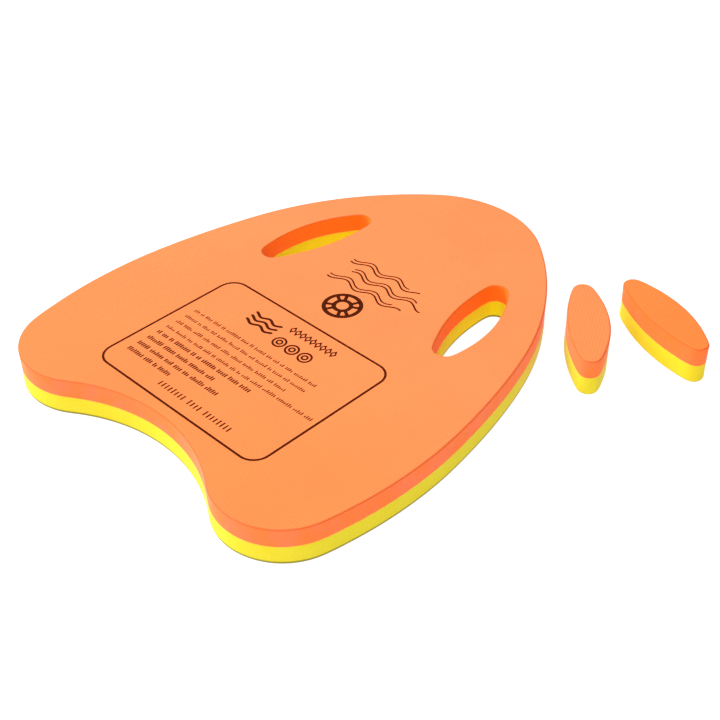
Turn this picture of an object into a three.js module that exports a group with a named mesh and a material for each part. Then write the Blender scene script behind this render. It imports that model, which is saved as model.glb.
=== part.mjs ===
// A foam kickboard, laminated from an orange and a yellow sheet, with two hand holes.
// The two plugs that were cut out of the hand holes lie on the floor beside it.
// Millimetres. +X right, +Y to the nose, +Z up. The origin is on the floor, under the middle of the board.
import * as THREE from 'three';

// Driving dimensions
const thickness = 28;
const filmThickness = 0.4;
const filmInset = 0.4;           // the adhesive film stops short of every wall
const edgeRadius = 1.2;          // softened edges of the two outer faces
const edgeSteps = 3;
const kerf = 0.4;                // foam lost to the knife, on each side of its cut
const chordError = 0.1;          // how far a facet may stand off a true arc

// The right half of the outline, clockwise from the nose to the middle of the tail: tangent arcs,
// each with its radius and the angle that it turns. The last one turns back, round the tail notch.
const halfOutline = [
  { name: 'nose', radius: 80, turn: 39.8 },
  { name: 'shoulder', radius: 248, turn: 33.4 },
  { name: 'side', radius: 502, turn: 9.9 },
  { name: 'hip', radius: 312, turn: 19.7 },
  { name: 'tail lobe', radius: 47, turn: 111.8 },
  { name: 'tail notch', radius: 122.7, turn: -34.6 },
];

// A hand hole is a lens with round ends. Its outer side is the more curved one.
const handHole = { length: 91, endRadius: 8.1, outerRadius: 98, innerRadius: 133 };
const handHoleCentre = { x: 75.7, y: 58.5 };
const handHoleSlant = 13.1;      // degrees, the nose ends lean together

// Where each plug lies. heading is the direction that its more curved side faces, in degrees from +X.
const plugs = [
  { name: 'near_plug', x: 133.8, y: 111.5, heading: 40.8 },
  { name: 'far_plug', x: 166.5, y: 156.3, heading: 69.4 },
];

const foam = { roughness: 0.85, metalness: 0 };
const colours = { top_layer: 0xfd9a58, bottom_layer: 0xf7de41, bond_film: 0xe8b765 };

const radians = THREE.MathUtils.degToRad;

// Points along an arc after its start, by centre, radius, and the angles of its first and last point.
function arcPoints(centre, radius, from, to) {
  const step = 2 * Math.acos(1 - chordError / radius);
  const count = Math.ceil(Math.abs(to - from) / step);
  return Array.from({ length: count }, (_, i) => {
    const angle = from + ((to - from) * (i + 1)) / count;
    return new THREE.Vector2(centre.x + radius * Math.cos(angle), centre.y + radius * Math.sin(angle));
  });
}

// The right half of the outline as tangent arcs from the nose, which is at the origin here.
function walkHalfOutline() {
  const points = [new THREE.Vector2(0, 0)];
  let normal = Math.PI / 2;      // outward from the board, at the end of the last arc
  for (const { radius, turn } of halfOutline) {
    const side = Math.sign(turn);
    const end = points.at(-1);
    const towardsCentre = new THREE.Vector2(-Math.cos(normal), -Math.sin(normal));
    const centre = end.clone().addScaledVector(towardsCentre, side * radius);
    const from = side > 0 ? normal : normal + Math.PI;
    points.push(...arcPoints(centre, radius, from, from - radians(turn)));
    normal -= radians(turn);
  }
  points.at(-1).x = 0;
  return points;
}

// The whole outline, anticlockwise, centred from nose to tail.
function boardOutline() {
  const right = walkHalfOutline();
  const left = right.slice(1, -1).map((p) => new THREE.Vector2(-p.x, p.y));
  const outline = [...left, ...right.toReversed()];
  const heights = outline.map((p) => p.y);
  const middle = (Math.max(...heights) + Math.min(...heights)) / 2;
  return outline.map((p) => new THREE.Vector2(p.x, p.y - middle));
}

// The lens, anticlockwise, with its more curved side facing +X and its length along Y.
function lensOutline(shrink) {
  const end = handHole.endRadius - shrink;
  const reach = handHole.length / 2 - handHole.endRadius;
  const side = (radius, facing) => {
    const offset = Math.sqrt((radius - handHole.endRadius) ** 2 - reach ** 2);
    return { x: -facing * offset, y: 0, radius: radius - shrink, lean: Math.atan2(reach, offset) };
  };
  const outer = side(handHole.outerRadius, 1);
  const inner = side(handHole.innerRadius, -1);
  return [
    ...arcPoints(outer, outer.radius, -outer.lean, outer.lean),
    ...arcPoints({ x: 0, y: reach }, end, outer.lean, Math.PI - inner.lean),
    ...arcPoints(inner, inner.radius, Math.PI - inner.lean, Math.PI + inner.lean),
    ...arcPoints({ x: 0, y: -reach }, end, inner.lean - Math.PI, -outer.lean),
  ];
}

function placed(outline, centre, headingDegrees) {
  const pivot = new THREE.Vector2(0, 0);
  const at = new THREE.Vector2(centre.x, centre.y);
  return outline.map((p) => p.clone().rotateAround(pivot, radians(headingDegrees)).add(at));
}

// Moves every point of an anticlockwise outline inward, square to the outline.
function inset(outline, distance) {
  const count = outline.length;
  return outline.map((point, i) => {
    const along = outline[(i + 1) % count].clone().sub(outline[(i - 1 + count) % count]).normalize();
    return new THREE.Vector2(point.x - along.y * distance, point.y + along.x * distance);
  });
}

// A closed sheet between levels. A level is a height and how far the walls stand inside the outline there.
function sheetGeometry(outline, holes, levels) {
  const rings = [outline, ...holes];
  const positions = [];
  const indices = [];
  const perLevel = rings.reduce((sum, ring) => sum + ring.length, 0);
  const sections = levels.map(({ inward }) => {
    const outer = inset(outline, inward);
    return [outer, ...holes.map((hole) => inset(hole, -inward).toReversed())];
  });
  sections.forEach((section, k) => {
    for (const point of section.flat()) positions.push(point.x, point.y, levels[k].z);
  });

  for (let k = 0; k < levels.length - 1; k += 1) {
    let first = k * perLevel;
    for (const ring of rings) {
      for (let i = 0; i < ring.length; i += 1) {
        const a = first + i;
        const b = first + ((i + 1) % ring.length);
        indices.push(a, b, b + perLevel, a, b + perLevel, a + perLevel);
      }
      first += ring.length;
    }
  }

  const top = levels.length - 1;
  const cap = (section) => THREE.ShapeUtils.triangulateShape(section[0], section.slice(1));
  for (const [a, b, c] of cap(sections[top])) {
    indices.push(a + top * perLevel, b + top * perLevel, c + top * perLevel);
  }
  for (const [a, b, c] of cap(sections[0])) indices.push(a, c, b);

  const geometry = new THREE.BufferGeometry();
  geometry.setAttribute('position', new THREE.Float32BufferAttribute(positions, 3));
  geometry.setIndex(indices);
  geometry.computeVertexNormals();
  return geometry;
}

// The quarter-round edge as levels, from the wall up to the outer face.
function roundedEdge() {
  return Array.from({ length: edgeSteps + 1 }, (_, i) => {
    const angle = (i / edgeSteps) * (Math.PI / 2);
    return { below: edgeRadius * (1 - Math.sin(angle)), inward: edgeRadius * (1 - Math.cos(angle)) };
  });
}

const filmBottom = (thickness - filmThickness) / 2;
const filmTop = (thickness + filmThickness) / 2;
const edge = roundedEdge();
const layers = {
  top_layer: [{ z: filmTop, inward: 0 }, ...edge.map((e) => ({ z: thickness - e.below, inward: e.inward }))],
  bond_film: [{ z: filmBottom, inward: filmInset }, { z: filmTop, inward: filmInset }],
  bottom_layer: [
    ...edge.map((e) => ({ z: e.below, inward: e.inward })).reverse(),
    { z: filmBottom, inward: 0 },
  ],
};

// Both foam sheets and the film between them, cut to one outline.
function laminate(name, outline, holes) {
  const group = new THREE.Group();
  for (const [layer, levels] of Object.entries(layers)) {
    const material = new THREE.MeshStandardMaterial({ ...foam, color: colours[layer] });
    const mesh = new THREE.Mesh(sheetGeometry(outline, holes, levels), material);
    mesh.name = `${name}_${layer}`;
    group.add(mesh);
  }
  return group;
}

function board() {
  const rightHole = placed(lensOutline(0), handHoleCentre, handHoleSlant);
  const leftCentre = { x: -handHoleCentre.x, y: handHoleCentre.y };
  const leftHole = placed(lensOutline(0), leftCentre, 180 - handHoleSlant);
  return laminate('board', boardOutline(), [rightHole, leftHole]);
}

function plug({ name, x, y, heading }) {
  const group = laminate(name, lensOutline(kerf), []);
  group.position.set(x, y, 0);
  group.rotation.z = radians(heading);
  return group;
}

const kickboard = new THREE.Group();
kickboard.add(board(), ...plugs.map(plug));

export default kickboard;
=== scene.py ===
"""A laminated foam kickboard with two hand holes, and the two plugs that were cut out of them.

Every outline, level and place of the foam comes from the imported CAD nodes. Each CAD layer is remade here
as finished foam, with closely stepped walls, softened edges and a faintly uneven face. The printing is laid
on the top face. All is in metres, in the frame of the CAD: +X right, +Y to the nose, +Z up. The printing
alone is drawn in millimetres.
"""

import math
import random
from typing import NamedTuple

import bmesh
import bpy
import numpy as np
from mathutils import Matrix, Vector, geometry, noise


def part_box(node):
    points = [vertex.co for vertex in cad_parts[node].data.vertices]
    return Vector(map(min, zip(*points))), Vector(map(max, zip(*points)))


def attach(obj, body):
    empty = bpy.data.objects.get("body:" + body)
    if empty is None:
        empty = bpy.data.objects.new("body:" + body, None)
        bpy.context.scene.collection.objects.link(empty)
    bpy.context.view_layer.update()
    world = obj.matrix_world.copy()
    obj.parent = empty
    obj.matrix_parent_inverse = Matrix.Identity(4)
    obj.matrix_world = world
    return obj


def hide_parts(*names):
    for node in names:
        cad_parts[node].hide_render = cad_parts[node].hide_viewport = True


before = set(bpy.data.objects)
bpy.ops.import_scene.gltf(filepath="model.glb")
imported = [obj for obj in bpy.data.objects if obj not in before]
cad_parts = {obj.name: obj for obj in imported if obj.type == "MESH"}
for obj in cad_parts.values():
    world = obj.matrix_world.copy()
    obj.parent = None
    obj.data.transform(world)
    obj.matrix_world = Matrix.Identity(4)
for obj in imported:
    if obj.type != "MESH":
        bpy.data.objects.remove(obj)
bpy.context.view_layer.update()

# ---------------------------------------------------------------- driving dimensions

MM = 0.001

floor_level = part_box("board_bottom_layer")[0].z
seam_level = (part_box("board_bond_film")[0].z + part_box("board_bond_film")[1].z) / 2
face_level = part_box("board_top_layer")[1].z
half_thickness = face_level - seam_level

OUTLINE_STEP = 1.4 * MM      # between the points of an outline
FACE_STEP = 6 * MM           # between the points inside a face

FACE_WAVE = 0.16 * MM        # how far the top face strays from flat
SEAM_WAVE = 0.14 * MM        # how far the seam does
UNDERSIDE_LIFT = 0.1 * MM    # how far the underside stands off the floor in places
KNIFE_STRAY = 0.16 * MM      # how far a cut strays from its outline
KNIFE_CHATTER = 0.006 * MM   # the fine ribs that the blade leaves
DRAWN_IN = 0.22 * MM         # how far a cut wall is drawn in, halfway up

SEAM_SOFTENING = 0.12 * MM   # foam gone from the edge at the seam
GLUE_RECESS = 0.06 * MM      # how far the glue line stands inside the foam
RIM_WIDTH = 1.3 * MM         # the rounded edge of a face, across the face
RIM_DROP = 1.1 * MM          # and down the wall
LOWER_RIM_DROP = 1.9 * MM    # the same on the underside, which is rounder

EMBOSS_PITCH = 2.2 * MM
EMBOSS_DEPTH = 0.12 * MM
PORE_DEPTH = 0.05 * MM
STREAK_DEPTH = 0.015 * MM
PAINTED_REFLECTION_FADE = (-0.16, 0.02)    # the stretch of Y over which the painted reflection fades, from the deeper tail colour to the paler skin colour of the nose

INK_DEPTH = 0.04 * MM
INK_ROOT = 0.05 * MM         # how far the ink reaches down into the uneven face

# The printing, in millimetres from the middle of the board
PANEL_MIDDLE = (0, -82.8)
PANEL_WIDTH, PANEL_HEIGHT, PANEL_CORNER = 155.8, 122, 12
MARK_MIDDLE = (0.8, 8.6)
MARK_OUTSIDE, MARK_INSIDE = 13, 6
WAVES_AT = ((-34, 34, 30), (-24, 45, 42), (-34, 30, 54))       # where each starts and ends in X, and its Y
BOLD_WAVES_START, BOLD_WAVES_END = -37, -10.5
BOLD_WAVES_AT = (-38.6, -43.4, -48.2)
DIAMONDS_START, DIAMONDS_AT, DIAMOND_PITCH, DIAMOND_COUNT = -3.2, -34.3, 4.8, 9
BUBBLES_AT, BUBBLE_MIDDLES = -50, (-0.2, 12, 24.2)
ROWS_START, FIRST_ROW_AT, ROW_PITCH = -68, -67.2, 8.3
FINE_ROW_ENDS, BOLD_ROW_ENDS = (49, 52, 37, 68), (23, -1, 10, -24)
TALL_ROW_START, TALL_ROW_END, TALL_ROW_AT = -24, 22, -134.8

# ---------------------------------------------------------------- outlines, from the CAD


def longest_span(ring):
    """The vector between the two points of a ring that are furthest apart."""
    spans = ring[:, None] - ring[None]
    first, second = divmod(int((spans**2).sum(2).argmax()), len(ring))
    return ring[first] - ring[second]


def direction(ring):
    """The angle at which the longest span of a ring lies, from either of its ends."""
    span = longest_span(ring)
    return math.atan2(span[1], span[0])


def signed_area(ring):
    """The area of a ring, which is positive when the ring runs anticlockwise."""
    following = np.roll(ring, -1, 0)
    return (ring[:, 0] * following[:, 1] - following[:, 0] * ring[:, 1]).sum() / 2


def distance_travelled(line):
    """How far along a line each of its points is."""
    steps = np.linalg.norm(np.diff(line, axis=0), axis=1)
    return np.concatenate([[0], np.cumsum(steps)])


def points_along(line, stops):
    """The points at the given distances along a line."""
    travelled = distance_travelled(line)
    return np.column_stack([np.interp(stops, travelled, line[:, k]) for k in (0, 1)])


def closed_spline(points, spacing):
    """A smooth closed curve through points, as new points that stand about spacing apart."""
    following = np.roll(points, -1, 0)
    gaps = np.linalg.norm(following - points, axis=1)
    before = np.roll(gaps, 1)
    slopes = (following - points) / gaps[:, None]

    # The tangents at the points are those of a cubic spline, whose bend never jumps.
    count = len(points)
    row = np.arange(count)
    matrix = np.zeros((count, count))
    matrix[row, row] = 2 * (gaps + before)
    matrix[row, row - 1] = gaps
    matrix[row, (row + 1) % count] = before
    bends = 3 * (gaps[:, None] * np.roll(slopes, 1, 0) + before[:, None] * slopes)
    tangents = np.linalg.solve(matrix, bends)

    steps_in_gap = 24
    t = (np.arange(steps_in_gap) / steps_in_gap)[None, :, None]
    start, end = points[:, None], following[:, None]
    leave = (tangents * gaps[:, None])[:, None]
    arrive = (np.roll(tangents, -1, 0) * gaps[:, None])[:, None]
    fine = start * (1 + 2 * t) * (1 - t) ** 2 + leave * t * (1 - t) ** 2
    fine += end * t**2 * (3 - 2 * t) - arrive * t**2 * (1 - t)
    fine = fine.reshape(-1, 2)

    closed = np.vstack([fine, fine[:1]])
    length = distance_travelled(closed)[-1]
    return points_along(closed, np.linspace(0, length, round(length / spacing), endpoint=False))


def seam_neighbours(mesh):
    """For each point on a layer's outlines at its seam, the points beside it on the same outline."""
    seam = min(vertex.co.z for vertex in mesh.verts)
    neighbours = {}
    for edge in mesh.edges:
        flat = [abs(face.normal.z) > 0.9 for face in edge.link_faces]
        at_seam = all(vertex.co.z < seam + 0.01 * MM for vertex in edge.verts)
        if at_seam and any(flat) and not all(flat):
            first, second = edge.verts
            neighbours.setdefault(first, []).append(second)
            neighbours.setdefault(second, []).append(first)
    return neighbours


def cad_rings(node_name):
    """The outlines of a CAD layer at its seam, the outer one first, each with the foam on its left."""
    mesh = bmesh.new()
    mesh.from_mesh(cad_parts[node_name].data)
    bmesh.ops.remove_doubles(mesh, verts=mesh.verts, dist=0.001 * MM)
    mesh.normal_update()
    neighbours = seam_neighbours(mesh)
    rings = []
    while neighbours:
        vertex = next(iter(neighbours))
        ring = []
        while vertex is not None:
            ring.append(vertex.co.xy[:])
            onward = [other for other in neighbours.pop(vertex) if other in neighbours]
            vertex = onward[0] if onward else None
        rings.append(np.array(ring))
    mesh.free()

    rings.sort(key=lambda ring: -abs(signed_area(ring)))
    smooth = []
    for k, ring in enumerate(rings):
        is_outer, runs_anticlockwise = k == 0, signed_area(ring) > 0
        turned = ring if is_outer == runs_anticlockwise else ring[::-1]
        smooth.append(closed_spline(turned, OUTLINE_STEP))
    return smooth


# ---------------------------------------------------------------- how real foam strays from the drawing


def undulation(x, y, per_metre, seed):
    """Smooth noise from -1 to 1 over a sheet, with about per_metre features to the metre."""
    return noise.noise(Vector((x * per_metre, y * per_metre, seed)))


def face_wave(x, y):
    """How far the top face stands above its true level."""
    return FACE_WAVE * undulation(x, y, per_metre=11, seed=7.7)


def settled(x, y, z):
    """The height at which a point of the flat laminate really lies. It is never below the floor."""
    upward = (z - seam_level) / half_thickness
    seam_wave = SEAM_WAVE * undulation(x, y, per_metre=24, seed=3.1)
    underside_lift = UNDERSIDE_LIFT * max(0, undulation(x, y, per_metre=13, seed=1.9))
    shift = seam_wave * max(0, 1 - abs(upward))
    shift += face_wave(x, y) * max(0, upward) + underside_lift * max(0, -upward)
    return z + shift


def knife_wander(x, y, z):
    """How far a cut wall stands inside its outline: the knife strays, and cut foam draws in a little."""
    stray_per_metre, chatter_per_metre, chatter_upright = 22, 240, 0.3
    stray = KNIFE_STRAY * noise.noise(Vector((x, y, z)) * stray_per_metre)
    chatter = KNIFE_CHATTER * noise.noise(Vector((x, y, z * chatter_upright)) * chatter_per_metre)
    drawn_in = DRAWN_IN * math.sin(math.pi * (z - floor_level) / (face_level - floor_level))
    return stray + chatter + drawn_in


# ---------------------------------------------------------------- foam sheets


class Level(NamedTuple):
    """A step in the side of a sheet: its height, how far the side stands in there, its skin, and how far
    its rim is darkened, which on an underside is a painted contact shadow.
    """

    height: float
    inward: float
    skin: float = 0
    rim: float = 0


class Cut(NamedTuple):
    """What a body's layers share: their outlines, the turn of their grain, and how deep their colour is."""

    rings: list
    grain_turn: float
    depth_of_colour: float


def inset(ring, distances):
    """A ring moved into its foam by a distance at each point."""
    along = np.roll(ring, -1, 0) - np.roll(ring, 1, 0)
    along /= np.linalg.norm(along, axis=1, keepdims=True)
    into_foam = np.column_stack([-along[:, 1], along[:, 0]])
    return ring + into_foam * np.reshape(distances, (-1, 1))


def in_foam(points, rings):
    """Which points lie inside the outer ring and outside the holes."""
    x, y = points[:, :1], points[:, 1:]
    crossings = np.zeros(len(points), int)
    for ring in rings:
        following = np.roll(ring, -1, 0)
        run, rise = (following - ring).T
        rise[rise == 0] = 1      # a level edge is never crossed, and this keeps it from dividing by zero
        spans = (ring[:, 1] > y) != (following[:, 1] > y)
        crossings += (spans & (ring[:, 0] + (y - ring[:, 1]) * run / rise > x)).sum(1)
    return crossings % 2 == 1


def inside_points(rings, spacing):
    """A triangular lattice of points in the foam, clear of its outlines."""
    row_spacing, clearance = spacing * math.sqrt(0.75), 0.6 * spacing
    low, high = rings[0].min(0), rings[0].max(0)
    rows = np.arange(low[1], high[1], row_spacing)
    columns = np.arange(low[0], high[0], spacing)
    shifts = np.where(np.arange(len(rows)) % 2, spacing / 2, 0)
    x = columns[None, :] + shifts[:, None]
    lattice = np.column_stack([x.ravel(), np.repeat(rows, len(columns))])
    nearest = [np.linalg.norm(lattice[:, None] - ring[None], axis=2).min(1) for ring in rings]
    return lattice[in_foam(lattice, rings) & (np.min(nearest, axis=0) > clearance)]


def cap(rings):
    """Points inside the rings, and the triangles over the rings' own points followed by those."""
    inside = inside_points(rings, FACE_STEP)
    points = np.vstack([*rings, inside])
    edges = []
    first = 0
    for ring in rings:
        edges += [(first + i, first + (i + 1) % len(ring)) for i in range(len(ring))]
        first += len(ring)
    whole_hull, tolerance = 0, 0.0001 * MM
    made = geometry.delaunay_2d_cdt([Vector(point) for point in points], edges, [], whole_hull, tolerance)
    made_faces, made_from = made[2], made[3]
    source = [origins[0] for origins in made_from]
    triangles = np.array([[source[i] for i in face] for face in made_faces])
    return inside, triangles[in_foam(points[triangles].mean(1), rings)].tolist()


def wall_sections(rings, levels):
    """The points of each ring at each level, level by level."""
    sections = []
    for level in levels:
        for ring in rings:
            distances = [level.inward + knife_wander(x, y, level.height) for x, y in ring]
            heights = np.full(len(ring), level.height)
            sections.append(np.column_stack([inset(ring, distances), heights]))
    return sections


def wall_faces(rings, level_count):
    """The four-sided faces between each ring and the same ring a level higher."""
    per_level = sum(len(ring) for ring in rings)
    faces = []
    for k in range(level_count - 1):
        first = k * per_level
        for ring in rings:
            for i in range(len(ring)):
                a, b = first + i, first + (i + 1) % len(ring)
                faces.append((a, b, b + per_level, a + per_level))
            first += len(ring)
    return faces


def sheet_mesh(name, cut, levels):
    """A closed sheet with its sides at the levels, lowest first, and a face at each end.

    The mesh carries its material's attributes. "sheet" is a point's place, turned to line up with the sheet
    that it was cut from. "skin" is how much of the moulded skin it has, "rim" is how strongly the rim of a
    cut is darkened, which on an underside is a painted contact shadow, "hole" is 1 on the wall of a hole,
    where the material paints bounce light, and "deep" is how much deeper the piece's colour is.
    """
    rings = cut.rings
    per_level = sum(len(ring) for ring in rings)
    sections = wall_sections(rings, levels)
    faces = wall_faces(rings, len(levels))
    points = [np.vstack(sections)]
    skin = [level.skin for level in levels for _ in range(per_level)]
    rim = [level.rim for level in levels for _ in range(per_level)]
    hole = ([0] * len(rings[0]) + [1] * (per_level - len(rings[0]))) * len(levels)

    for k, looks_down in ((0, True), (len(levels) - 1, False)):
        edge_sections = sections[k * len(rings):][:len(rings)]
        inside, triangles = cap([section[:, :2] for section in edge_sections])
        first_edge, first_inside = k * per_level, len(skin) - per_level
        for triangle in triangles:
            corners = [i + (first_edge if i < per_level else first_inside) for i in triangle]
            faces.append(corners[::-1] if looks_down else corners)
        points.append(np.column_stack([inside, np.full(len(inside), levels[k].height)]))
        skin += [levels[k].skin] * len(inside)
        rim += [0] * len(inside)
        hole += [0] * len(inside)

    flat = np.vstack(points)
    mesh = bpy.data.meshes.new(name)
    mesh.from_pydata([(x, y, settled(x, y, z)) for x, y, z in flat], [], faces)
    mesh.polygons.foreach_set("use_smooth", [True] * len(mesh.polygons))
    turn = Matrix.Rotation(-cut.grain_turn, 3, "Z")
    places = [value for point in flat for value in turn @ Vector(point)]
    mesh.attributes.new("sheet", "FLOAT_VECTOR", "POINT").data.foreach_set("vector", places)
    deep = [cut.depth_of_colour] * len(flat)
    for word, values in (("skin", skin), ("rim", rim), ("hole", hole), ("deep", deep)):
        mesh.attributes.new(word, "FLOAT", "POINT").data.foreach_set("value", values)
    mesh.validate()
    mesh.update()
    return mesh


def foam_levels(seam, face, rim_tone, rim_drop):
    """A foam layer from its seam to its outer face: a crisp seam edge, the wall, and the rounded rim.

    rim_tone(angle) says how strongly the rim is darkened, from the wall at 0 round to the face at 90
    degrees. On an underside this darkening is a painted contact shadow.
    """
    seam_margin, rim_margin = 0.6 * MM, 0.8 * MM
    wall_steps, rim_steps = 6, 8
    away = math.copysign(1, face - seam)
    wall_start, wall_end = seam + away * seam_margin, face - away * rim_drop
    levels = [Level(seam, SEAM_SOFTENING), Level(seam + away * SEAM_SOFTENING, 0)]
    for k in range(wall_steps):
        levels.append(Level(wall_start + (wall_end - wall_start) * k / wall_steps, 0))
    levels.append(Level(wall_end - away * rim_margin, 0))
    for k in range(rim_steps + 1):
        angle = math.pi / 2 * k / rim_steps
        height = face - away * rim_drop * (1 - math.sin(angle))
        inward = RIM_WIDTH * (1 - math.cos(angle))
        levels.append(Level(height, inward, (k / rim_steps) ** 2, rim_tone(angle)))
    levels.append(Level(face, RIM_WIDTH + rim_margin, 1))
    return levels if away > 0 else levels[::-1]


def darker_mid_rim(angle):
    """The top rim is darkened, most at the middle of the bend."""
    return math.sin(2 * angle)


def board_contact_shadow(angle):
    """Painted contact shadow: the lower edge of the board is darkened all round its bend, most towards the
    floor.
    """
    return 0.7 + 0.3 * math.sin(angle)


def plug_contact_shadow(angle):
    """Painted contact shadow, faint: the lower edge of a plug is darkened a little, most at the middle of
    its bend.
    """
    return 0.15 * math.sin(2 * angle)


def film_levels(low, high):
    """The glue line, which stands a hair inside the foam."""
    return [Level(low, GLUE_RECESS), Level((low + high) / 2, GLUE_RECESS / 2), Level(high, GLUE_RECESS)]


# ---------------------------------------------------------------- shader nodes


def node(tree, kind, inputs=None, **settings):
    """A new shader node. An input is a value, or another node's output, which is linked."""
    made = tree.nodes.new(kind)
    for key, value in settings.items():
        setattr(made, key, value)
    for key, value in (inputs or {}).items():
        if isinstance(value, bpy.types.NodeSocket):
            tree.links.new(value, made.inputs[key])
        else:
            made.inputs[key].default_value = value
    return made


def calculate(tree, operation, *values):
    """One step of arithmetic on numbers."""
    return node(tree, "ShaderNodeMath", dict(enumerate(values)), operation=operation).outputs[0]


def multiply(tree, first, second):
    """Two numbers multiplied."""
    return calculate(tree, "MULTIPLY", first, second)


def mapped(tree, value, low, high, from_low, from_high):
    """A value from one range, moved to another and kept within it."""
    inputs = {"Value": value, "From Min": from_low, "From Max": from_high, "To Min": low, "To Max": high}
    return node(tree, "ShaderNodeMapRange", inputs).outputs["Result"]


def varied(tree, clouds, low, high):
    """A value from low to high that follows clouds, which keep mostly between 0.3 and 0.7."""
    return mapped(tree, clouds, low, high, 0.3, 0.7)


def mixed(tree, share, first, second, blend="MIX"):
    """Two colours mixed, from the first at a share of 0 to the second at 1."""
    inputs = {0: share, 6: first, 7: second}
    return node(tree, "ShaderNodeMix", inputs, data_type="RGBA", blend_type=blend).outputs[2]


def tinted(tree, colour, tint):
    """A colour multiplied by another, or by a number."""
    return mixed(tree, 1.0, colour, tint, "MULTIPLY")


def blended(tree, share, first, second):
    """Two numbers mixed."""
    return node(tree, "ShaderNodeMix", {0: share, 2: first, 3: second}).outputs[0]


def cloud(tree, place, per_metre, detail=2.0):
    """Noise from 0 to 1, with about per_metre features to the metre."""
    inputs = {"Vector": place, "Scale": per_metre, "Detail": detail}
    return node(tree, "ShaderNodeTexNoise", inputs).outputs["Fac"]


def mesh_value(tree, word):
    """A number that a sheet's mesh carries."""
    return node(tree, "ShaderNodeAttribute", attribute_name=word).outputs["Fac"]


def place_on_sheet(tree):
    """A point's place, turned to line up with the sheet that its piece was cut from."""
    return node(tree, "ShaderNodeAttribute", attribute_name="sheet").outputs["Vector"]


def new_material(name, **surface):
    """A material, its node tree and its shader. surface gives constants for the shader's own sockets."""
    material = bpy.data.materials.new(name)
    material.use_nodes = True
    shader = material.node_tree.nodes["Principled BSDF"]
    for key, value in surface.items():
        socket_name = key.replace("_", " ").title().replace("Ior", "IOR")
        shader.inputs[socket_name].default_value = value
    return material, material.node_tree, shader


def finish_shader(tree, shader, colour, roughness, relief):
    """Links a material's colour, roughness and relief, which is in metres, to its shader."""
    bump = node(tree, "ShaderNodeBump", {"Height": relief, "Distance": 1.0})
    tree.links.new(colour, shader.inputs["Base Color"])
    tree.links.new(roughness, shader.inputs["Roughness"])
    tree.links.new(bump.outputs["Normal"], shader.inputs["Normal"])


def embossing(tree, place):
    """The square emboss of the moulded skin: 1 on the top of each small pillow and 0 in the grooves."""
    flat_topped = 0.45
    axes = node(tree, "ShaderNodeSeparateXYZ", {0: place}).outputs
    humps = []
    for axis in axes[:2]:
        turn = multiply(tree, axis, math.pi / EMBOSS_PITCH)
        humps.append(calculate(tree, "ABSOLUTE", calculate(tree, "SINE", turn)))
    return calculate(tree, "POWER", multiply(tree, *humps), flat_topped)


# ---------------------------------------------------------------- materials


def skin_colouring(tree, place, pillows, grain, colour, tail_colour_less_reflection):
    """The moulded skin, which is cloudy, with painted shade in the grooves of its emboss, and a painted
    reflection that leaves it paler towards the nose and deeper in colour towards the tail.
    """
    cloudy = varied(tree, cloud(tree, place, 16), 0.955, 1.03)
    # Painted shade: the grooves of the emboss are darkened down to 0.85, as shade in them would darken
    # them. The grain's own variation is multiplied in.
    grain_and_groove_shade = multiply(tree, mapped(tree, pillows, 0.85, 1.02, 0, 1), varied(tree, grain, 0.97, 1.03))
    along = node(tree, "ShaderNodeSeparateXYZ", {0: place}).outputs["Y"]
    # Painted reflection: the colour goes from the paler nose colour to the deeper tail colour. This stands
    # in for the white surroundings reflecting more where the face is seen at a flatter angle.
    reflection_fade_to_tail = mapped(tree, along, 1, 0, *PAINTED_REFLECTION_FADE)
    evenly = mixed(tree, reflection_fade_to_tail, (*colour, 1), (*tail_colour_less_reflection, 1))
    return tinted(tree, evenly, multiply(tree, cloudy, grain_and_groove_shade))


def cut_colouring(tree, place, cells, streaks, colour, blush, hole_bounce_light_tint):
    """A cut wall, which shows its cells and the blade's streaks. The walls of the holes have a tint of
    painted bounce light, which deepens the orange and brightens the yellow there.
    """
    open_cells = mapped(tree, cells, 0.93, 1.03, 0.1, 0.7)
    tone = multiply(tree, open_cells, varied(tree, streaks, 0.98, 1.02))
    blotches = mapped(tree, cloud(tree, place, 70), 0, 1, 0.38, 0.66)
    blushed = mixed(tree, blotches, (*colour, 1), (*blush, 1))
    # Painted bounce light: the tint stands in for light bounced round inside a hole, which would colour its
    # walls more deeply.
    bounce_lit_hole_wall = tinted(tree, blushed, (*hole_bounce_light_tint, 1))
    return tinted(tree, mixed(tree, mesh_value(tree, "hole"), blushed, bounce_lit_hole_wall), tone)


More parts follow.
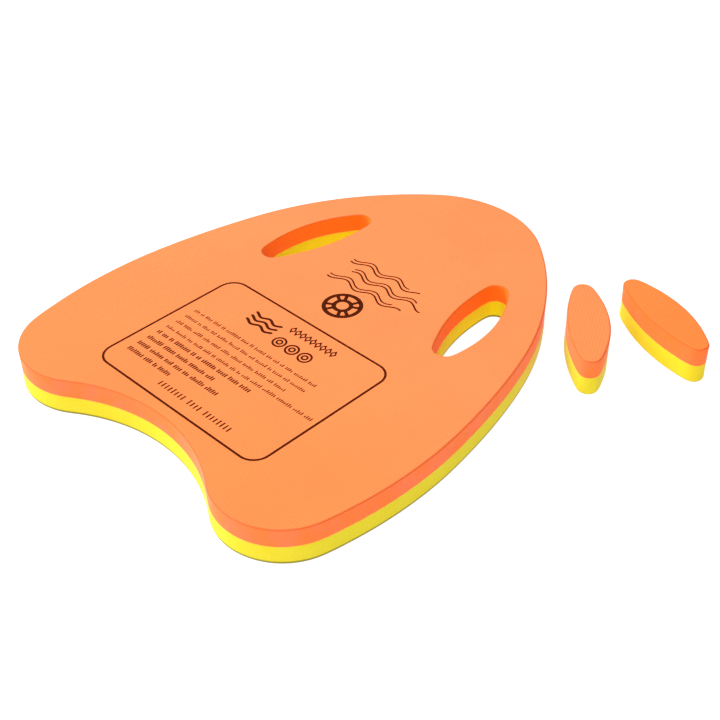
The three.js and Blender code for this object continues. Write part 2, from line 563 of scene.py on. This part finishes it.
def foam_material(name, skin_colour, tail_colour_less_reflection, cut_colour, cut_blush, hole_bounce_light_tint, rim_tint_and_painted_shadow):
    """Closed-cell foam: a moulded, embossed skin on the faces and fine open cells where it was cut."""
    material, tree, shader = new_material(name, ior=1.5, specular_ior_level=0.2, sheen_weight=0.2,
                                          sheen_roughness=0.25, sheen_tint=(1, 0.9, 0.75, 1))
    place = place_on_sheet(tree)
    skin, rim, deep = (mesh_value(tree, word) for word in ("skin", "rim", "deep"))
    pillows = embossing(tree, place)
    grain = cloud(tree, place, 1400, 3)
    low_place = node(tree, "ShaderNodeVectorMath", {0: place, 1: (1, 1, 0.15)}, operation="MULTIPLY")
    streaks = cloud(tree, low_place.outputs[0], 700, 3)      # upright, as their heights are squeezed
    cells = node(tree, "ShaderNodeTexVoronoi", {"Vector": place, "Scale": 1700}).outputs["Distance"]

    skin_shown = skin_colouring(tree, place, pillows, grain, skin_colour, tail_colour_less_reflection)
    cut_shown = cut_colouring(tree, place, cells, streaks, cut_colour, cut_blush, hole_bounce_light_tint)
    colour = mixed(tree, skin, cut_shown, skin_shown)
    deep_tint = (1, 0.92, 0.62)
    deeper = mixed(tree, deep, colour, tinted(tree, colour, (*deep_tint, 1)))
    # The rim tint darkens the top rim. On an underside it is a painted contact shadow.
    rimmed = mixed(tree, rim, deeper, tinted(tree, deeper, (*rim_tint_and_painted_shadow, 1)))

    satin = varied(tree, grain, 0.46, 0.6)
    dull = mapped(tree, cells, 0.88, 0.76, 0.1, 0.7)
    roughness = blended(tree, skin, dull, satin)

    emboss = multiply(tree, pillows, EMBOSS_DEPTH)
    pores, strokes = multiply(tree, cells, PORE_DEPTH), multiply(tree, streaks, STREAK_DEPTH)
    relief = blended(tree, skin, calculate(tree, "ADD", pores, strokes), emboss)
    finish_shader(tree, shader, rimmed, roughness, relief)
    return material


def film_material():
    """The melted glue line between the two sheets."""
    material, tree, shader = new_material("glue_line", ior=1.48)
    smears = cloud(tree, place_on_sheet(tree), 160, 3)
    share = mapped(tree, smears, 0, 1, 0.35, 0.65)
    colour = mixed(tree, share, (0.93, 0.42, 0.05, 1), (0.92, 0.55, 0.05, 1))
    finish_shader(tree, shader, colour, varied(tree, smears, 0.45, 0.7), multiply(tree, smears, 0.1 * MM))
    return material


def ink_material(name, dark, worn):
    """Screen-printed ink, which lies thinner over the grooves of the emboss."""
    material, tree, shader = new_material(name, ior=1.45, specular_ior_level=0.02)
    place = node(tree, "ShaderNodeTexCoord").outputs["Object"]
    pillows = embossing(tree, place)
    specks = cloud(tree, place, 900, 3)
    in_grooves = mapped(tree, pillows, 1, 0, 0.2, 0.8)
    thin = multiply(tree, in_grooves, mapped(tree, specks, 0.1, 1, 0.35, 0.7))
    colour = mixed(tree, thin, (*dark, 1), (*worn, 1))
    finish_shader(tree, shader, colour, varied(tree, specks, 0.6, 0.8), multiply(tree, pillows, 0.05 * MM))
    return material


# ---------------------------------------------------------------- printing on the top face, in millimetres


def box_line(middle, width, height, radius):
    """A closed line round a box, with round corners."""
    corner_steps = 8
    line = []
    for x_side, y_side, start in ((1, 1, 0), (-1, 1, 90), (-1, -1, 180), (1, -1, 270)):
        corner_x = middle[0] + x_side * (width / 2 - radius)
        corner_y = middle[1] + y_side * (height / 2 - radius)
        for k in range(corner_steps + 1):
            angle = math.radians(start + 90 * k / corner_steps)
            line.append((corner_x + radius * math.cos(angle), corner_y + radius * math.sin(angle)))
    return line


def circle_line(middle, radius):
    """A closed line round a circle."""
    return box_line(middle, 2 * radius, 2 * radius, radius)


def diamond_line(middle, width, height):
    """A closed line round an upright diamond."""
    x, y = middle
    return [(x + width / 2, y), (x, y + height / 2), (x - width / 2, y), (x, y - height / 2)]


def wave_line(start_x, end_x, y, height, length):
    """An open line of even waves, with a point at about every millimetre."""
    x = np.linspace(start_x, end_x, round(end_x - start_x) + 1)
    return np.column_stack([x, y + height * np.sin(2 * math.pi * x / length)])


def closed_strip(line):
    """A closed line's points with its long gaps filled in, its direction there, and its ink's reach."""
    same_point, longest_gap, sharpest_turn = 0.01, 3, 0.5
    places = []
    for start, end in zip(line, np.roll(line, -1, 0)):
        gap = np.linalg.norm(end - start)
        if gap > same_point:
            pieces = math.ceil(gap / longest_gap)
            places += [start + (end - start) * k / pieces for k in range(pieces)]
    places = np.array(places)
    ahead = np.roll(places, -1, 0) - places
    ahead /= np.linalg.norm(ahead, axis=1, keepdims=True)
    along = ahead + np.roll(ahead, 1, 0)
    along /= np.linalg.norm(along, axis=1, keepdims=True)
    mitre = 1 / np.maximum((along * ahead).sum(1), sharpest_turn)
    return places, along, mitre


def open_strip(line, radius):
    """The same for an open line with round ends, where the points crowd together and the ink narrows."""
    spacing = 1.2
    length = distance_travelled(line)[-1]
    radius = min(radius, length / 2)
    turns = np.radians([15, 40, 65, 90])
    end = radius * (1 - np.cos(turns))
    body = np.linspace(radius, length - radius, max(2, round(length / spacing)))[1:-1]
    stops = np.concatenate([end, body, length - end[::-1]])
    widths = np.concatenate([np.sin(turns), np.ones(len(body)), np.sin(turns)[::-1]])
    places = points_along(line, stops)
    along = np.gradient(places, axis=0)
    along /= np.linalg.norm(along, axis=1, keepdims=True)
    return places, along, widths


def print_line(mesh, line, width, closed=False):
    """Adds a strip of ink, as a closed solid in metres, along a line in millimetres on the top face."""
    line = np.array(line)
    places, along, reach = closed_strip(line) if closed else open_strip(line, width / 2)
    across = np.column_stack([-along[:, 1], along[:, 0]]) * (reach * width / 2)[:, None]
    rows = []
    for left, right in zip((places + across) * MM, (places - across) * MM):
        tops = [(x, y, face_level + face_wave(x, y) + INK_DEPTH) for x, y in (left, right)]
        feet = [(x, y, z - INK_DEPTH - INK_ROOT) for x, y, z in reversed(tops)]
        rows.append([mesh.verts.new(point) for point in tops + feet])
    pairs = list(zip(rows, rows[1:]))
    if closed:
        pairs.append((rows[-1], rows[0]))
    else:
        mesh.faces.new(rows[0])
        mesh.faces.new(reversed(rows[-1]))
    for near, far in pairs:
        for k in range(4):
            mesh.faces.new((near[k], far[k], far[(k + 1) % 4], near[(k + 1) % 4]))


def printed(name, draw, material):
    """A piece of the printing: draw(mesh) adds its strips of ink."""
    mesh = bmesh.new()
    draw(mesh)
    bmesh.ops.recalc_face_normals(mesh, faces=mesh.faces)
    data = bpy.data.meshes.new(name)
    mesh.to_mesh(data)
    mesh.free()
    piece = bpy.data.objects.new(name, data)
    bpy.context.scene.collection.objects.link(piece)
    data.materials.append(material)
    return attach(piece, "board")


def draw_frame_line(mesh):
    """The line round the panel."""
    line = box_line(PANEL_MIDDLE, PANEL_WIDTH, PANEL_HEIGHT, PANEL_CORNER)
    print_line(mesh, line, width=1.7, closed=True)


def draw_mark(mesh):
    """A plain ring buoy: two circles, joined by four pairs of short lines."""
    for radius in (MARK_OUTSIDE, MARK_INSIDE):
        print_line(mesh, circle_line(MARK_MIDDLE, radius), width=3.1, closed=True)
    for pair_angle in (45, 135, 225, 315):
        for lean in (-16, 16):
            angle = math.radians(pair_angle + lean)
            outward = np.array([math.cos(angle), math.sin(angle)])
            spoke = [MARK_MIDDLE + radius * outward for radius in (MARK_INSIDE, MARK_OUTSIDE)]
            print_line(mesh, spoke, width=2.6)


def draw_waves(mesh):
    """Three long waves in step, each with a shorter, thinner line above it."""
    for start_x, end_x, y in WAVES_AT:
        for rise, cut_short, width in ((0, 0, 1.3), (3.4, 9, 1.15)):
            line = wave_line(start_x, end_x - cut_short, y + rise, height=2.6, length=25)
            print_line(mesh, line, width)


def draw_heading(mesh):
    """Three short bold waves, and to their right a row of small diamonds over three bubbles."""
    for y in BOLD_WAVES_AT:
        line = wave_line(BOLD_WAVES_START, BOLD_WAVES_END, y, height=1.3, length=13.2)
        print_line(mesh, line, width=2.1)
    for k in range(DIAMOND_COUNT):
        middle = (DIAMONDS_START + DIAMOND_PITCH * k, DIAMONDS_AT)
        print_line(mesh, diamond_line(middle, width=3.6, height=5.8), width=1.1, closed=True)
    for x in BUBBLE_MIDDLES:
        for radius, width in ((4.7, 1.5), (2.0, 1.4)):
            print_line(mesh, circle_line((x, BUBBLES_AT), radius), width, closed=True)


def print_ticks(mesh, chance, start_x, end_x, foot, pitch, heights, width):
    """A row of plain upright ticks in uneven groups."""
    gap = 0.9 * pitch
    x = start_x
    while x < end_x:
        for _ in range(chance.randint(2, 8)):
            height = chance.uniform(*heights)
            print_line(mesh, [(x, foot), (x, foot + height)], width)
            x += pitch
        x += gap


def draw_rows(mesh):
    """Rows of ticks where a board has its notes for use: fine ones, bolder ones, and one tall row."""
    chance = random.Random(4)
    for k, row_end in enumerate(FINE_ROW_ENDS + BOLD_ROW_ENDS):
        fine = k < len(FINE_ROW_ENDS)
        pitch, heights, width = (1.7, (1.9, 3.4), 0.9) if fine else (1.9, (2.8, 4.2), 1.2)
        print_ticks(mesh, chance, ROWS_START, row_end, FIRST_ROW_AT - ROW_PITCH * k, pitch, heights, width)
    print_ticks(mesh, chance, TALL_ROW_START, TALL_ROW_END, TALL_ROW_AT,
                pitch=3.2, heights=(4.6, 5.4), width=1.2)


# ---------------------------------------------------------------- pieces

# In both foams, the tail colour and the tint in the holes are painted light: a reflection that fades along
# the top face, and bounce light inside the holes. The yellow foam's rim tint is a painted contact shadow
# along the lower edge.
orange = foam_material(
    "orange_foam", skin_colour=(0.79, 0.204, 0.062), tail_colour_less_reflection=(0.79, 0.190, 0.045),
    cut_colour=(0.93, 0.178, 0.034), cut_blush=(0.93, 0.180, 0.062),
    hole_bounce_light_tint=(1, 0.9, 0.07), rim_tint_and_painted_shadow=(0.78, 0.62, 0.5))
yellow = foam_material(
    "yellow_foam", skin_colour=(0.69, 0.60, 0.020), tail_colour_less_reflection=(0.68, 0.59, 0.018),
    cut_colour=(0.715, 0.585, 0.017), cut_blush=(0.72, 0.597, 0.024),
    hole_bounce_light_tint=(1.02, 1.04, 0.1), rim_tint_and_painted_shadow=(0.18, 0.19, 0.3))
glue = film_material()
strong_ink = ink_material("strong_ink", dark=(0.050, 0.007, 0.0010), worn=(0.095, 0.020, 0.0040))
light_ink = ink_material("light_ink", dark=(0.060, 0.009, 0.002), worn=(0.125, 0.028, 0.006))


def make_layer(body, cut, layer, word, material, levels):
    """Makes the finished piece for one CAD layer, and hides the CAD solid that it stands for."""
    name = f"{body}_{word}"
    piece = bpy.data.objects.new(name, sheet_mesh(name, cut, levels))
    bpy.context.scene.collection.objects.link(piece)
    piece.data.materials.append(material)
    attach(piece, body)
    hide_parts(f"{body}_{layer}")
    return piece


def make_laminate(body, grain_turn, depth_of_colour, painted_lower_rim_shadow):
    """Both foam sheets of a body and the glue line between them."""
    cut = Cut(cad_rings(f"{body}_top_layer"), grain_turn, depth_of_colour)
    top_low, top_high = (corner.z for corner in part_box(f"{body}_top_layer"))
    film_low, film_high = (corner.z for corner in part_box(f"{body}_bond_film"))
    bottom_low, bottom_high = (corner.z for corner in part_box(f"{body}_bottom_layer"))
    top_levels = foam_levels(top_low, top_high, darker_mid_rim, RIM_DROP)
    bottom_levels = foam_levels(bottom_high, bottom_low, painted_lower_rim_shadow, LOWER_RIM_DROP)
    upper = make_layer(body, cut, "top_layer", "orange_foam", orange, top_levels)
    make_layer(body, cut, "bond_film", "glue_line", glue, film_levels(film_low, film_high))
    lower = make_layer(body, cut, "bottom_layer", "yellow_foam", yellow, bottom_levels)
    return cut.rings


# The board's lower rim takes a painted contact shadow, and each plug's takes a fainter one.
board_rings = make_laminate("board", 0, 0, board_contact_shadow)
left_hole, right_hole = sorted(board_rings[1:], key=lambda ring: ring[:, 0].mean())
for plug, hole, depth_of_colour in (("far_plug", left_hole, 1), ("near_plug", right_hole, 0.2)):
    # The emboss runs on from the sheet, so it is turned as far as the plug is from its hole. The two
    # directions leave half a turn open, which the emboss doesn't show, so the turn is kept below that.
    turn = (direction(cad_rings(f"{plug}_top_layer")[0]) - direction(hole)) % math.pi
    make_laminate(plug, turn, depth_of_colour, plug_contact_shadow)

printed("print_frame_line", draw_frame_line, strong_ink)
printed("print_mark", draw_mark, strong_ink)
printed("print_waves", draw_waves, strong_ink)
printed("print_heading", draw_heading, strong_ink)
printed("print_rows", draw_rows, light_ink)

# ---------------------------------------------------------------- studio


def make_floor():
    """A plain pale floor, a hair below the object, which curves up far away into a backdrop all round."""
    top = floor_level - 0.1 * MM
    flat_reach, bend, height = 16.0, 4.0, 6.0
    around, bend_steps = 64, 8
    profile = [(flat_reach, 0)]
    for k in range(1, bend_steps + 1):
        angle = math.pi / 2 * k / bend_steps
        profile.append((flat_reach + bend * math.sin(angle), bend * (1 - math.cos(angle))))
    profile.append((flat_reach + bend, height))

    points = []
    for reach, rise in profile:
        for k in range(around):
            angle = 2 * math.pi * k / around
            points.append((reach * math.cos(angle), reach * math.sin(angle), top + rise))
    faces = [tuple(range(around))]
    for ring in range(len(profile) - 1):
        for k in range(around):
            a, b = ring * around + k, ring * around + (k + 1) % around
            faces.append((b, a, a + around, b + around))
    mesh = bpy.data.meshes.new("floor")
    mesh.from_pydata(points, [], faces)
    floor = bpy.data.objects.new("floor", mesh)
    bpy.context.scene.collection.objects.link(floor)
    material, _, _ = new_material(
        "floor", base_color=(0.27, 0.27, 0.27, 1), roughness=1.0, specular_ior_level=0.0,
        emission_color=(1, 1, 1, 1), emission_strength=0.86)
    mesh.materials.append(material)


def make_world(strength):
    """An even white light from all round."""
    world = bpy.data.worlds.new("studio")
    bpy.context.scene.world = world
    world.use_nodes = True
    background = world.node_tree.nodes["Background"]
    background.inputs["Color"].default_value = (1, 1, 1, 1)
    background.inputs["Strength"].default_value = strength


def aimed(azimuth, elevation, roll, target, distance):
    """The place of something that looks at a target. Azimuth 0 looks along +Y, and 90 along -X."""
    heading = Matrix.Rotation(math.radians(azimuth), 4, "Z")
    tilt = Matrix.Rotation(math.radians(90 - elevation), 4, "X")
    turn = heading @ tilt @ Matrix.Rotation(math.radians(roll), 4, "Z")
    return Matrix.Translation(Vector(target) + turn.col[2].xyz * distance) @ turn


def make_soft_light(name, azimuth, elevation, power):
    """A large square soft box that faces the object. Its azimuth is measured as the camera's is."""
    distance, size = 4, 2.2
    light = bpy.data.lights.new(name, "AREA")
    light.size = size
    light.energy = power
    lamp = bpy.data.objects.new(name, light)
    bpy.context.scene.collection.objects.link(lamp)
    lamp.matrix_world = aimed(azimuth, elevation, 0, (0, 0, 0), distance)


def make_camera():
    """A camera at the photograph's viewing angle."""
    data = bpy.data.cameras.new("camera")
    data.sensor_width = 36
    data.lens = 67.67
    data.clip_start, data.clip_end = 0.01, 50
    camera = bpy.data.objects.new("camera", data)
    bpy.context.scene.collection.objects.link(camera)
    camera.matrix_world = aimed(azimuth=44.76, elevation=38.24, roll=-0.49,
                                target=(0.02716, -0.00113, 0), distance=0.9355)
    bpy.context.scene.camera = camera


make_floor()
make_world(strength=0.42)
make_soft_light("key", azimuth=-70, elevation=38, power=205)
make_soft_light("top", azimuth=0, elevation=85, power=42)
make_soft_light("front", azimuth=30, elevation=42, power=66)
make_soft_light("left", azimuth=-30, elevation=20, power=20)
make_camera()
bpy.context.scene.view_settings.view_transform = "Standard"
